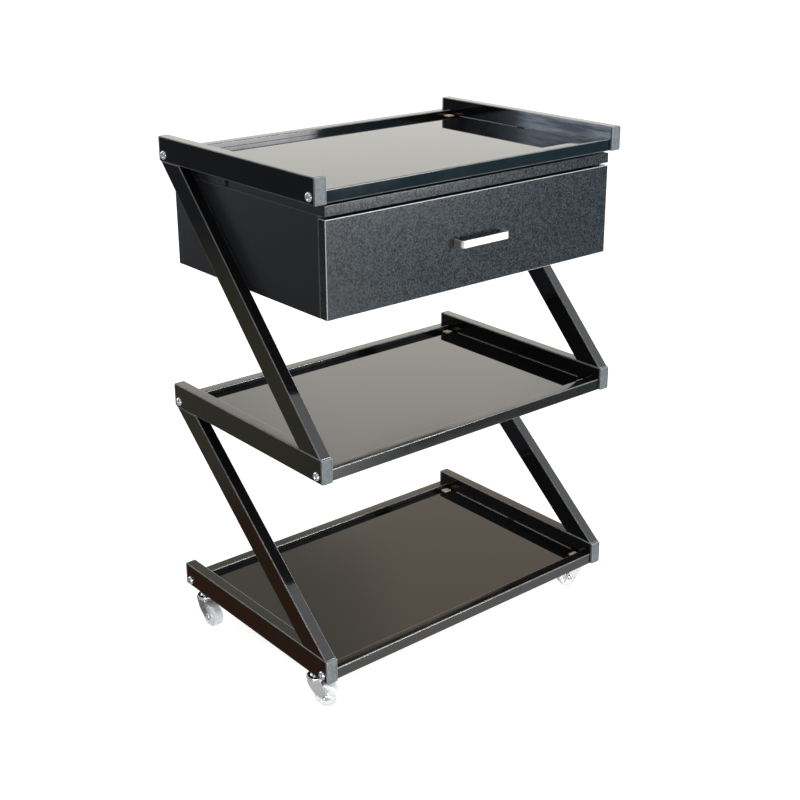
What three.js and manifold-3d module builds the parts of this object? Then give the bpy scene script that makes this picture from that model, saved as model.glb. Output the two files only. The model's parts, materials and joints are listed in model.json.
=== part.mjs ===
// Three-shelf salon and spa trolley cart: two Z-braced tube side frames, six cross rails, three glass
// shelves, a one-drawer cabinet hung under the top shelf and four swivel casters.
// Millimetres, +Z up. X runs across the cart, -Y is the drawer side, z = 0 is the floor.

import * as THREE from 'three';
import { mergeVertices } from 'three/addons/utils/BufferGeometryUtils.js';
import Module from 'manifold-3d';

const wasm = await Module();
wasm.setup();

// ---- Driving dimensions ----

const gap = 0.3; // between pieces that touch
const overlap = 0.5; // between shapes that are joined into one piece
const overrun = 1; // how far a cutting shape passes the faces it cuts

const tube = { height: 40, thickness: 20, wall: 1.5, length: 414 }; // side frame bars and diagonals
const rail = { side: 20, wall: 1.5 };
const frameWidth = 624; // over the outer faces of the side frames
const cap = { flange: 3.7, plugLength: 12, corner: 2, bevel: 0.5 };

const casterHeight = 60; // floor to the underside of the bottom bars
const shelfPitch = { lower: 342.5, upper: 422.4 };
const levels = [
  { name: 'bottom', z: casterHeight },
  { name: 'middle', z: casterHeight + shelfPitch.lower },
  { name: 'top', z: casterHeight + shelfPitch.lower + shelfPitch.upper },
];

const glass = { thickness: 5, topAboveBar: 11, sideGap: 2.7, railGap: 1, notch: { x: 18, y: 16 } };
const cornerTab = { x: 24, y: 22, z: 2.5, thickness: 3 }; // welded to the rail ends, under the glass

const board = 16;
const cabinet = {
  frontY: -205, backY: 202, underBar: 3.5, height: 168.8, backThickness: 12, topPanelOverFront: 4.3,
};
const bracket = { y: 49, width: 9, sheet: 1.5, drop: 17, foot: 16 };

const drawer = {
  frontThickness: 17, boxLength: 350, boxHeight: 110, boxClearance: 7, side: 12, bottom: 6, bottomInset: 6,
};
const runner = { height: 35, depth: 12.5, sheet: 1.5, slack: 0.5 };
const handle = { holeCentres: 96, projection: 20, strap: 3.5, height: 12, corner: 6.5 };

const caster = { x: frameWidth / 2 - tube.thickness / 2, y: 165, trail: 19 };
const stem = {
  radius: 5, rise: 15, nutRadius: 8.7, nutDepth: 3.7, cupRadius: 12.5, cupDepth: 5, cupBevel: 2,
};
const kingpin = { radius: 4, length: 4, headRadius: 6, headDepth: 2.5 };
const fork = {
  headRadius: 15, headThickness: 3, headGap: 0.4, legThickness: 2, innerWidth: 20, legHalf: 9,
  shoulder: 1.5, bossRadius: 6.5, bossFrom: 225, bossTo: 369,
};
// The wall between the fork's legs behind the kingpin, clear of its head and of the wheel. Depths are
// below the fork head.
const forkWeb = { lowX: -1.5, lowDepth: 10.5, tipX: 0.2, tipDepth: 9.5, innerX: -6.6, innerDepth: 3.3 };
const axle = { radius: 4, headRadius: 5.5, headDepth: 2.5 };
const wheel = {
  radius: 20, width: 17, bore: 4.3, shoulder: 3, hubRadius: 8, dishRadius: 14.5, dishDepth: 2.5,
};
const casterTurns = [
  { name: 'front_left', side: -1, end: -1, trailAngle: -51 },
  { name: 'front_right', side: 1, end: -1, trailAngle: 160 },
  { name: 'back_left', side: -1, end: 1, trailAngle: -85 },
  { name: 'back_right', side: 1, end: 1, trailAngle: -110 },
];

const roundSegments = 20;
const wheelSegments = 32;
const bendSegments = 8;
const capCornerSegments = 3;

// ---- Values worked out from them ----

const barInnerX = frameWidth / 2 - tube.thickness;
const tubeEndY = tube.length / 2;
const railInnerY = tubeEndY - rail.side;
const topLevel = levels[2].z;
const cabinetTopZ = topLevel - cabinet.underBar;
const cabinetBottomZ = cabinetTopZ - cabinet.height;
const panelOuterX = barInnerX - 0.4;
const panelInnerX = panelOuterX - board;
const sidePanelTopZ = cabinetTopZ - board - gap;
const frontBackY = cabinet.frontY + drawer.frontThickness;
const drawerFrontTopZ = cabinetTopZ - board - cabinet.topPanelOverFront;
const backPanelY = cabinet.backY - cabinet.backThickness;
const drawerSideX = panelInnerX - gap - runner.depth - gap;
const drawerBoxZ = cabinetBottomZ + board + drawer.boxClearance;
const drawerBoxY = frontBackY + gap;
const handleFrontY = cabinet.frontY - handle.projection;
const capFaceY = tubeEndY + gap + cap.flange;

// ---- Materials ----

function material(color, roughness, metalness) {
  return new THREE.MeshStandardMaterial({ color, roughness, metalness });
}

const materials = {
  frameBlack: () => material(0x14110f, 0.22, 0.1),
  capGrey: () => material(0x8c969f, 0.5, 0),
  blackGlass: () => material(0x060607, 0.04, 0),
  charcoalPanel: () => material(0x222226, 0.55, 0),
  speckledFront: () => material(0x4a4d50, 0.6, 0),
  drawerBoard: () => material(0x3a3a3c, 0.6, 0),
  satinAluminium: () => material(0xc8c9ca, 0.32, 1),
  zinc: () => material(0xb4b6b8, 0.3, 1),
  paleNylon: () => material(0xd6d8d8, 0.45, 0),
};

// ---- Solids ----

const alongX = new THREE.Matrix4().makeBasis(
  new THREE.Vector3(0, 1, 0), new THREE.Vector3(0, 0, 1), new THREE.Vector3(1, 0, 0));
const alongY = new THREE.Matrix4().makeBasis(
  new THREE.Vector3(1, 0, 0), new THREE.Vector3(0, 0, 1), new THREE.Vector3(0, -1, 0));

function toSolid(geometry) {
  const bare = geometry.clone();
  bare.deleteAttribute('normal');
  bare.deleteAttribute('uv');
  const merged = mergeVertices(bare, 1e-4);
  return new wasm.Manifold(new wasm.Mesh({
    numProp: 3,
    vertProperties: new Float32Array(merged.attributes.position.array),
    triVerts: new Uint32Array(merged.index.array),
  }));
}

function toGeometry(solid) {
  const mesh = solid.getMesh();
  const geometry = new THREE.BufferGeometry();
  geometry.setAttribute('position', new THREE.BufferAttribute(new Float32Array(mesh.vertProperties), 3));
  geometry.setIndex(new THREE.BufferAttribute(new Uint32Array(mesh.triVerts), 1));
  geometry.computeVertexNormals();
  return geometry;
}

function join(first, ...others) {
  return toGeometry(others.reduce((solid, other) => solid.add(toSolid(other)), toSolid(first)));
}

function cut(first, ...others) {
  return toGeometry(others.reduce((solid, other) => solid.subtract(toSolid(other)), toSolid(first)));
}

// A box between two corners.
function block(x0, x1, y0, y1, z0, z1) {
  const box = new THREE.BoxGeometry(x1 - x0, y1 - y0, z1 - z0);
  return box.translate((x0 + x1) / 2, (y0 + y1) / 2, (z0 + z1) / 2);
}

// A round bar standing on z0.
function post(radius, z0, z1, segments = roundSegments) {
  const cylinder = new THREE.CylinderGeometry(radius, radius, z1 - z0, segments);
  return cylinder.rotateX(Math.PI / 2).translate(0, 0, (z0 + z1) / 2);
}

function outline(points) {
  return new THREE.Shape(points.map(([u, v]) => new THREE.Vector2(u, v)));
}

// A flat outline given as (y, z), made solid between x0 and x1.
function prismAlongX(shape, x0, x1) {
  const geometry = new THREE.ExtrudeGeometry(shape, { depth: x1 - x0, bevelEnabled: false });
  return geometry.applyMatrix4(alongX).translate(x0, 0, 0);
}

// A flat outline given as (x, z), made solid between y0 and y1.
function prismAlongY(shape, y0, y1) {
  const settings = { depth: y1 - y0, bevelEnabled: false, curveSegments: bendSegments };
  return new THREE.ExtrudeGeometry(shape, settings).applyMatrix4(alongY).translate(0, y1, 0);
}

function roundedRectangle(width, height, radius) {
  const shape = new THREE.Shape();
  const x = width / 2 - radius;
  const y = height / 2 - radius;
  const quarter = Math.PI / 2;
  shape.absarc(x, y, radius, 0, quarter);
  shape.absarc(-x, y, radius, quarter, 2 * quarter);
  shape.absarc(-x, -y, radius, 2 * quarter, 3 * quarter);
  shape.absarc(x, -y, radius, 3 * quarter, 4 * quarter);
  return shape;
}

// ---- The assembly ----

const cart = new THREE.Group();
// The origin is the middle of the footprint, handle included.
cart.position.y = (-handleFrontY - capFaceY) / 2;

function add(name, geometry, makeMaterial, parent = cart) {
  const mesh = new THREE.Mesh(geometry, makeMaterial());
  mesh.name = name;
  parent.add(mesh);
}

// ---- Side frames ----

const sides = [{ name: 'left', sign: -1 }, { name: 'right', sign: 1 }];

function sideBar(level, carriesCasters) {
  const z = level.z;
  const half = tube.thickness / 2;
  const bore = half - tube.wall;
  const outer = block(-half, half, -tubeEndY, tubeEndY, z, z + tube.height);
  const inner = block(-bore, bore, -tubeEndY - overrun, tubeEndY + overrun,
    z + tube.wall, z + tube.height - tube.wall);
  if (!carriesCasters) return cut(outer, inner);
  const stemHole = () => post(stem.radius + gap, z - overrun, z + tube.wall + overrun);
  return cut(outer, inner, stemHole().translate(0, -caster.y, 0), stemHole().translate(0, caster.y, 0));
}

// Corner points (y, z) of a brace that leans from the front end of the lower bar to the back end of the
// upper one. The inset shrinks its width evenly, and the extra lengthens it past both ends.
function bracePoints(lowZ, highZ, inset, extra) {
  const height = highZ - lowZ;
  const lean = Math.atan2(height, tube.length) + Math.asin(tube.height / Math.hypot(tube.length, height));
  const flat = tube.height / Math.sin(lean);
  const trim = inset / Math.sin(lean);
  const slide = extra / Math.tan(lean);
  return [
    [-tubeEndY + trim - slide, lowZ - extra],
    [-tubeEndY + flat - trim - slide, lowZ - extra],
    [tubeEndY - trim + slide, highZ + extra],
    [tubeEndY - flat + trim + slide, highZ + extra],
  ];
}

function brace(lowBar, highBar) {
  const lowZ = lowBar.z + tube.height + gap;
  const highZ = highBar.z - gap;
  const half = tube.thickness / 2;
  const bore = half - tube.wall;
  return cut(
    prismAlongX(outline(bracePoints(lowZ, highZ, 0, 0)), -half, half),
    prismAlongX(outline(bracePoints(lowZ, highZ, tube.wall, overrun)), -bore, bore));
}

// An end cap facing -Y: a flange with softened edges and a plug that fills the bar's mouth.
function endCap() {
  const width = tube.thickness - 2 * cap.bevel;
  const face = roundedRectangle(width, tube.height - 2 * cap.bevel, cap.corner);
  const depth = cap.flange - cap.bevel;
  const pressed = new THREE.ExtrudeGeometry(face, {
    depth, bevelThickness: cap.bevel, bevelSize: cap.bevel, bevelSegments: 1,
    curveSegments: capCornerSegments,
  });
  const backBevel = block(-tube.thickness, tube.thickness, 0, tube.thickness, -tube.height, tube.height);
  const flange = cut(pressed.applyMatrix4(alongY), backBevel);
  const plugX = tube.thickness / 2 - tube.wall - gap;
  const plugZ = tube.height / 2 - tube.wall - gap;
  return join(flange, block(-plugX, plugX, -cap.flange / 2, cap.plugLength, -plugZ, plugZ));
}

for (const side of sides) {
  const x = side.sign * caster.x;
  for (const level of levels) {
    const bar = sideBar(level, level.name === 'bottom').translate(x, 0, 0);
    add(`bar_${side.name}_${level.name}`, bar, materials.frameBlack);
    for (const end of [{ name: 'front', turn: 0, sign: -1 }, { name: 'back', turn: Math.PI, sign: 1 }]) {
      const plug = endCap().rotateZ(end.turn);
      plug.translate(x, end.sign * (tubeEndY + gap), level.z + tube.height / 2);
      add(`end_cap_${side.name}_${level.name}_${end.name}`, plug, materials.capGrey);
    }
  }
  add(`brace_${side.name}_lower`, brace(levels[0], levels[1]).translate(x, 0, 0), materials.frameBlack);
  add(`brace_${side.name}_upper`, brace(levels[1], levels[2]).translate(x, 0, 0), materials.frameBlack);
}

// ---- Rails and glass shelves ----

// A front rail: a square tube between the side frames, with a tab at each end that carries the glass.
function crossRail(z) {
  const endX = barInnerX - gap;
  const outer = block(-endX, endX, -tubeEndY, -railInnerY, z, z + rail.side);
  const bore = block(-endX - overrun, endX + overrun, -tubeEndY + rail.wall, -railInnerY - rail.wall,
    z + rail.wall, z + rail.side - rail.wall);
  const tabs = [-1, 1].map((sign) => {
    const inner = sign * (endX - cornerTab.x);
    return block(Math.min(sign * endX, inner), Math.max(sign * endX, inner),
      -railInnerY - rail.wall / 2, -railInnerY + cornerTab.y,
      z + cornerTab.z, z + cornerTab.z + cornerTab.thickness);
  });
  return join(cut(outer, bore), ...tabs);
}

function glassShelf(z) {
  const x = barInnerX - glass.sideGap;
  const y = railInnerY - glass.railGap;
  const cornerX = x - glass.notch.x;
  const cornerY = y - glass.notch.y;
  const shape = outline([
    [-cornerX, -y], [cornerX, -y], [cornerX, -cornerY], [x, -cornerY],
    [x, cornerY], [cornerX, cornerY], [cornerX, y], [-cornerX, y],
    [-cornerX, cornerY], [-x, cornerY], [-x, -cornerY], [-cornerX, -cornerY],
  ]);
  const sheet = new THREE.ExtrudeGeometry(shape, { depth: glass.thickness, bevelEnabled: false });
  return sheet.translate(0, 0, z + glass.topAboveBar - glass.thickness);
}

for (const level of levels) {
  add(`rail_${level.name}_front`, crossRail(level.z), materials.frameBlack);
  add(`rail_${level.name}_back`, crossRail(level.z).rotateZ(Math.PI), materials.frameBlack);
  add(`glass_shelf_${level.name}`, glassShelf(level.z), materials.blackGlass);
}

// ---- Cabinet under the top shelf ----

add('cabinet_top', block(
  -panelOuterX, panelOuterX, cabinet.frontY, cabinet.backY, cabinetTopZ - board, cabinetTopZ),
materials.charcoalPanel);
add('cabinet_back', block(
  -panelOuterX, panelOuterX, backPanelY, cabinet.backY, cabinetBottomZ, sidePanelTopZ),
materials.charcoalPanel);
add('cabinet_bottom', block(
  -panelInnerX + gap, panelInnerX - gap, frontBackY + gap, backPanelY - gap,
  cabinetBottomZ, cabinetBottomZ + board),
materials.charcoalPanel);
for (const side of sides) {
  const panel = block(0, board, frontBackY + gap, backPanelY - gap, cabinetBottomZ, sidePanelTopZ);
  panel.translate(side.sign < 0 ? -panelOuterX : panelInnerX, 0, 0);
  add(`cabinet_side_${side.name}`, panel, materials.charcoalPanel);
}

// An angle bracket from the underside of the top bar down the edge of the cabinet's top panel.
function hangerBracket() {
  const wallX = -panelOuterX - gap;
  const topZ = topLevel - gap;
  const angle = outline([
    [wallX - bracket.foot, topZ - bracket.sheet], [wallX - bracket.sheet, topZ - bracket.sheet],
    [wallX - bracket.sheet, topZ - bracket.drop], [wallX, topZ - bracket.drop],
    [wallX, topZ], [wallX - bracket.foot, topZ],
  ]);
  return prismAlongY(angle, bracket.y - bracket.width / 2, bracket.y + bracket.width / 2);
}

add('cabinet_bracket_left', hangerBracket(), materials.zinc);
const mirroredBracket = hangerBracket().rotateZ(Math.PI).translate(0, 2 * bracket.y, 0);
add('cabinet_bracket_right', mirroredBracket, materials.zinc);

// ---- Drawer ----

add('drawer_front', block(-panelOuterX, panelOuterX, cabinet.frontY, frontBackY,
  cabinetBottomZ, drawerFrontTopZ), materials.speckledFront);

const boxBackY = drawerBoxY + drawer.boxLength;
const boxInnerX = drawerSideX - drawer.side - gap;
const drawerFloorZ = drawerBoxZ + drawer.bottomInset;
for (const side of sides) {
  const wall = block(0, drawer.side, drawerBoxY, boxBackY, drawerBoxZ, drawerBoxZ + drawer.boxHeight);
  wall.translate(side.sign < 0 ? -drawerSideX : drawerSideX - drawer.side, 0, 0);
  add(`drawer_side_${side.name}`, wall, materials.drawerBoard);
}
add('drawer_back', block(-boxInnerX, boxInnerX, boxBackY - drawer.side, boxBackY,
  drawerBoxZ, drawerBoxZ + drawer.boxHeight), materials.drawerBoard);
add('drawer_bottom', block(-boxInnerX, boxInnerX, drawerBoxY, boxBackY - drawer.side - gap,
  drawerFloorZ, drawerFloorZ + drawer.bottom), materials.drawerBoard);

// Runner sections, open towards +X (fixed member) and towards -X (moving member), on the left side.
function runnerSection(backX, mouthX, halfHeight) {
  const inward = Math.sign(mouthX - backX) * runner.sheet;
  const lip = halfHeight - runner.sheet;
  return outline([
    [backX, -halfHeight], [mouthX, -halfHeight], [mouthX, -lip], [backX + inward, -lip],
    [backX + inward, lip], [mouthX, lip], [mouthX, halfHeight], [backX, halfHeight],
  ]);
}

const runnerZ = drawerBoxZ + drawer.boxHeight / 2;
const fixedBackX = -panelInnerX + gap;
const movingBackX = -drawerSideX - gap;
const runnerSections = {
  fixed: runnerSection(fixedBackX, movingBackX - runner.slack, runner.height / 2),
  moving: runnerSection(movingBackX, fixedBackX + runner.sheet + runner.slack,
    runner.height / 2 - runner.sheet - runner.slack),
};
for (const [kind, section] of Object.entries(runnerSections)) {
  for (const side of sides) {
    const half = drawer.boxLength / 2;
    const channel = prismAlongY(section, -half, half);
    if (side.sign > 0) channel.rotateZ(Math.PI);
    channel.translate(0, drawerBoxY + half, runnerZ);
    add(`runner_${kind}_${side.name}`, channel, materials.zinc);
  }
}

// A flat strap bent into a bow, standing on its two feet in the middle of the drawer front.
function bowHandle() {
  const halfSpan = (handle.holeCentres + handle.strap) / 2;
  const reach = handle.projection;
  const footY = -gap;
  const shape = new THREE.Shape();
  const inner = handle.corner - handle.strap;
  const innerHalf = halfSpan - handle.strap;
  const arcCentreX = halfSpan - handle.corner;
  const arcCentreY = -(reach - handle.corner);
  shape.moveTo(-halfSpan, footY);
  shape.absarc(-arcCentreX, arcCentreY, handle.corner, Math.PI, 1.5 * Math.PI);
  shape.absarc(arcCentreX, arcCentreY, handle.corner, 1.5 * Math.PI, 2 * Math.PI);
  shape.lineTo(halfSpan, footY);
  shape.lineTo(innerHalf, footY);
  shape.absarc(arcCentreX, arcCentreY, inner, 2 * Math.PI, 1.5 * Math.PI, true);
  shape.absarc(-arcCentreX, arcCentreY, inner, 1.5 * Math.PI, Math.PI, true);
  shape.lineTo(-innerHalf, footY);
  const bend = { depth: handle.height, bevelEnabled: false, curveSegments: bendSegments };
  const strap = new THREE.ExtrudeGeometry(shape, bend);
  return strap.translate(0, cabinet.frontY, (cabinetBottomZ + drawerFrontTopZ - handle.height) / 2);
}

add('drawer_handle', bowHandle(), materials.satinAluminium);

// ---- Casters ----

// Stem, nut and bearing cup in one, with the kingpin below that the fork head turns on. z = 0 is the
// underside of the bar.
function casterStem() {
  const nutBottom = -gap - stem.nutDepth;
  const cupBottom = nutBottom - stem.cupDepth;
  const pinBottom = cupBottom - kingpin.length;
  const headBottom = pinBottom - kingpin.headDepth;
  const profile = [
    [0, headBottom], [kingpin.headRadius, headBottom], [kingpin.headRadius, pinBottom],
    [kingpin.radius, pinBottom], [kingpin.radius, cupBottom], [stem.cupRadius, cupBottom],
    [stem.cupRadius, nutBottom - stem.cupDepth / 2], [stem.cupRadius - stem.cupBevel, nutBottom],
    [stem.radius, nutBottom], [stem.radius, stem.rise], [0, stem.rise],
  ].map(([r, z]) => new THREE.Vector2(r, z));
  const turned = new THREE.LatheGeometry(profile, roundSegments).rotateX(Math.PI / 2);
  return join(turned, post(stem.nutRadius, nutBottom - overlap, -gap, 6));
}

// The pressed fork, trailing towards +X, with its axle. z = 0 is the underside of the bar.
function casterFork() {
  const headTop = -gap - stem.nutDepth - stem.cupDepth - fork.headGap;
  const headBottom = headTop - fork.headThickness;
  const head = post(fork.headRadius, headBottom, headTop);
  const pinHole = post(kingpin.radius + fork.headGap, headBottom - overrun, headTop + overrun);
  const axleZ = wheel.radius - casterHeight;
  const legTop = (headTop + headBottom) / 2;
  const shoulderZ = headBottom - fork.shoulder;
  const leg = new THREE.Shape();
  leg.moveTo(-fork.legHalf, legTop);
  leg.lineTo(-fork.legHalf, shoulderZ);
  leg.absarc(caster.trail, axleZ, fork.bossRadius,
    THREE.MathUtils.degToRad(fork.bossFrom), THREE.MathUtils.degToRad(fork.bossTo));
  leg.lineTo(fork.legHalf, legTop);
  const web = outline([
    [-fork.legHalf, legTop], [-fork.legHalf, shoulderZ],
    [forkWeb.lowX, headBottom - forkWeb.lowDepth], [forkWeb.tipX, headBottom - forkWeb.tipDepth],
    [forkWeb.innerX, headBottom - forkWeb.innerDepth], [forkWeb.innerX, legTop],
  ]);
  const inner = fork.innerWidth / 2;
  const outer = inner + fork.legThickness;
  const tip = outer + axle.headDepth;
  const axleParts = [
    post(axle.radius, -outer, outer),
    post(axle.headRadius, -tip, -outer + overlap),
    post(axle.headRadius, outer - overlap, tip),
  ].map((piece) => piece.rotateX(Math.PI / 2).translate(caster.trail, 0, axleZ));
  return join(cut(head, pinHole), prismAlongY(leg, -outer, -inner), prismAlongY(leg, inner, outer),
    prismAlongY(web, -outer, outer), ...axleParts);
}

// The wheel, spinning about Y, centred on its axle.
function casterWheel() {
  const half = wheel.width / 2;
  const side = half - wheel.dishDepth;
  const faceRadius = wheel.radius - wheel.shoulder;
  const treadHalf = half - wheel.shoulder;
  const profile = [
    [wheel.bore, -half], [wheel.hubRadius, -half], [wheel.hubRadius, -side], [wheel.dishRadius, -side],
    [wheel.dishRadius, -half], [faceRadius, -half], [wheel.radius, -treadHalf], [wheel.radius, treadHalf],
    [faceRadius, half], [wheel.dishRadius, half], [wheel.dishRadius, side], [wheel.hubRadius, side],
    [wheel.hubRadius, half], [wheel.bore, half], [wheel.bore, -half],
  ].map(([r, y]) => new THREE.Vector2(r, y));
  return new THREE.LatheGeometry(profile, wheelSegments);
}

for (const place of casterTurns) {
  const mountPoint = new THREE.Group();
  mountPoint.position.set(place.side * caster.x, place.end * caster.y, casterHeight);
  cart.add(mountPoint);
  add(`caster_stem_${place.name}`, casterStem(), materials.zinc, mountPoint);
  const swivel = new THREE.Group();
  swivel.rotation.z = THREE.MathUtils.degToRad(place.trailAngle);
  mountPoint.add(swivel);
  add(`caster_fork_${place.name}`, casterFork(), materials.zinc, swivel);
  const wheelGeometry = casterWheel().translate(caster.trail, 0, wheel.radius - casterHeight);
  add(`caster_wheel_${place.name}`, wheelGeometry, materials.paleNylon, swivel);
}

export default cart;
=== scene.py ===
"""Looks for the three-shelf spa trolley cart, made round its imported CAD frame.

Metres, +Z up. The drawer faces -Y.
"""

import json
import math

import bmesh
import bpy
from mathutils import Matrix, Vector


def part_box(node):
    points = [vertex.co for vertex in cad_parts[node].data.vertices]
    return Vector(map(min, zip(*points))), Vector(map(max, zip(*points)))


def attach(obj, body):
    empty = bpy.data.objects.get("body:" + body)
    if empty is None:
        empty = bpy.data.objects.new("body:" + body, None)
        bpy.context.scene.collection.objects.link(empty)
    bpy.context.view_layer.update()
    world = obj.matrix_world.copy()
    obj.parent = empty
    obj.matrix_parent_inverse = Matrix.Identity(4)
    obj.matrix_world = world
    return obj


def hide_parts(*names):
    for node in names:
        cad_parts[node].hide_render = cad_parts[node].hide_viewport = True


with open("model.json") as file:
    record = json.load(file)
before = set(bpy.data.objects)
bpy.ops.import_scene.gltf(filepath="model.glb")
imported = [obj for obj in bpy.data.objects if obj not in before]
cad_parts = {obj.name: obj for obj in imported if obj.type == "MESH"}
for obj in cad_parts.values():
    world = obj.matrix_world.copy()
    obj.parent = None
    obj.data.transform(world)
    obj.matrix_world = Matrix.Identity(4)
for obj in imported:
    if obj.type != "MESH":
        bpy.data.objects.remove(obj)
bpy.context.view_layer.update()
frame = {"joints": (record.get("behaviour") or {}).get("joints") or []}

MM = 0.001
SIDES = (("left", -1), ("right", 1))
LEVELS = ("bottom", "middle", "top")
ENDS = (("front", -1), ("back", 1))
CASTERS = tuple(f"{end}_{side}" for end, _ in ENDS for side, _ in SIDES)

SHARP_ANGLE = math.radians(34)
NARROW_FACE = 1.1 * MM  # faces thinner than this belong to a rounded edge

UP = Vector((0, 0, 1))
ACROSS = Vector((1, 0, 0))
ALONG = Vector((0, 1, 0))


def lengths(**millimetres):
    """Named lengths in metres, from millimetres."""
    return {name: length * MM for name, length in millimetres.items()}


# ---- Materials ----

def mixed_colour(tree, share, first, second):
    """A colour that goes from first to second as share goes from 0 to 1; each is a socket or a colour."""
    node = tree.nodes.new("ShaderNodeMix")
    node.data_type = "RGBA"
    tree.links.new(share, node.inputs["Factor"])
    colour_inputs = [s for s in node.inputs if s.type == "RGBA"]
    for socket, value in zip(colour_inputs, (first, second)):
        if isinstance(value, tuple):
            socket.default_value = (*value, 1)
        else:
            tree.links.new(value, socket)
    return next(s for s in node.outputs if s.type == "RGBA")


class Paint:
    """A principled material and the few kinds of node that the finishes below are mixed from."""

    def __init__(self, name, **sockets):
        self.material = bpy.data.materials.new(name)
        self.material.use_nodes = True
        self.tree = self.material.node_tree
        self.shader = self.tree.nodes["Principled BSDF"]
        self.place = self.tree.nodes.new("ShaderNodeTexCoord").outputs["Object"]
        for socket, value in sockets.items():
            self.shader.inputs[socket.replace("_", " ")].default_value = value

    def link(self, source, target):
        self.tree.links.new(source, target)

    def stretched(self, factors):
        """The surface place with each axis scaled, for grain that runs one way."""
        node = self.tree.nodes.new("ShaderNodeMapping")
        node.inputs["Scale"].default_value = factors
        self.link(self.place, node.inputs["Vector"])
        return node.outputs["Vector"]

    def noise(self, size, detail=2.0, roughness=0.5, place=None):
        """Cloudy values from 0 to 1 whose lumps are about size metres."""
        node = self.tree.nodes.new("ShaderNodeTexNoise")
        node.inputs["Scale"].default_value = 1 / size
        node.inputs["Detail"].default_value = detail
        node.inputs["Roughness"].default_value = roughness
        self.link(place or self.place, node.inputs["Vector"])
        return node.outputs["Fac"]

    def specks(self, size, reach):
        """1 at the middle of scattered dots of about size metres, falling to 0 at reach of a cell."""
        node = self.tree.nodes.new("ShaderNodeTexVoronoi")
        node.inputs["Scale"].default_value = 1 / size
        self.link(self.place, node.inputs["Vector"])
        return self.spread(node.outputs["Distance"], reach, 0, 0, 1)

    def fade(self, axis, start, end):
        """0 up to start and 1 from end, along one axis of the frame."""
        node = self.tree.nodes.new("ShaderNodeSeparateXYZ")
        self.link(self.place, node.inputs["Vector"])
        return self.spread(node.outputs[axis], start, end, 0, 1)

    def edges(self):
        """1 along the rounded edges of a piece made here, 0 on its flats."""
        node = self.tree.nodes.new("ShaderNodeAttribute")
        node.attribute_name = "edge"
        return node.outputs["Fac"]

    def spread(self, value, from_low, from_high, low, high):
        """The values between from_low and from_high spread out between low and high."""
        node = self.tree.nodes.new("ShaderNodeMapRange")
        node.inputs["From Min"].default_value = from_low
        node.inputs["From Max"].default_value = from_high
        node.inputs["To Min"].default_value = low
        node.inputs["To Max"].default_value = high
        self.link(value, node.inputs["Value"])
        return node.outputs["Result"]

    def times(self, first, second):
        return self.math("MULTIPLY", first, second)

    def math(self, operation, first, second):
        """A sum or product of two values, each a node's or a plain number."""
        node = self.tree.nodes.new("ShaderNodeMath")
        node.operation = operation
        for socket, value in zip(node.inputs, (first, second)):
            if isinstance(value, (int, float)):
                socket.default_value = value
            else:
                self.link(value, socket)
        return node.outputs["Value"]

    def mixed(self, share, first, second):
        """A colour that goes from first to second as share goes from 0 to 1."""
        return mixed_colour(self.tree, share, first, second)

    def colour(self, source):
        self.link(source, self.shader.inputs["Base Color"])

    def edge_highlight_colour(self, body, share, highlight_tone):
        """The body colour, with a share of a paler tone along rounded edges: a painted edge highlight."""
        self.colour(self.mixed(self.times(self.edges(), share), body, highlight_tone))

    def roughness(self, source):
        self.link(source, self.shader.inputs["Roughness"])

    def relief(self, *layers):
        """Bumps: each layer is (heights from 0 to 1, depth in metres)."""
        normal = None
        for height, depth in layers:
            node = self.tree.nodes.new("ShaderNodeBump")
            node.inputs["Strength"].default_value = 1.0
            node.inputs["Distance"].default_value = depth
            self.link(height, node.inputs["Height"])
            if normal:
                self.link(normal, node.inputs["Normal"])
            normal = node.outputs["Normal"]
        self.link(normal, self.shader.inputs["Normal"])


def gloss_black_paint(name, reflection_streak_box=None):
    """Gloss paint with paler rounded edges, partly rubbed paint and partly a painted highlight. A
    reflection streak box is a bar whose inner face carries painted streaks, a painted reflection of a
    bluish window, that fade towards the back."""
    paint = Paint(name, IOR=1.52)
    cloud = paint.noise(0.09, 4)
    # paler rounded edges: partly rubbed paint, partly a painted highlight along each edge
    edge_patchiness = paint.spread(paint.noise(0.02, 3), 0.3, 0.7, 0.45, 1)
    edge_rub_and_highlight = paint.times(paint.edges(), edge_patchiness)
    body = paint.mixed(cloud, (0.0035, 0.0037, 0.0045), (0.0085, 0.0075, 0.0070))
    dust = paint.times(paint.specks(0.017, 0.035), 0.3)
    dust_and_reflection_streaks = paint.mixed(dust, body, (0.10, 0.10, 0.10))
    # painted reflection: bluish-white streaks on the inner face, strongest at the front, stand for a
    # window mirrored there
    if reflection_streak_box:
        low, high = reflection_streak_box
        front_share = paint.fade("Y", high.y - 0.19, high.y - 0.23)
        inner_face = paint.fade("X", low.x + 2 * MM, low.x + 1 * MM)
        along_bar = paint.noise(0.006, 5, 0.65, paint.stretched((1, 0.06, 1)))
        reflection_strokes = paint.spread(along_bar, 0.38, 0.62, 0.15, 1)
        painted_reflection_streaks = paint.times(paint.times(front_share, inner_face), reflection_strokes)
        dust_and_reflection_streaks = paint.mixed(paint.times(painted_reflection_streaks, 0.85), dust_and_reflection_streaks, (0.50, 0.56, 0.66))
    paint.colour(paint.mixed(paint.times(edge_rub_and_highlight, 0.6), dust_and_reflection_streaks, (0.32, 0.33, 0.34)))
    smudge = paint.spread(paint.noise(0.045, 5, 0.6), 0.3, 0.75, 0.045, 0.13)
    paint.roughness(paint.math("ADD", smudge, paint.times(edge_rub_and_highlight, 0.03)))
    paint.relief((paint.noise(0.0045, 1), 0.000004))
    return paint.material


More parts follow.
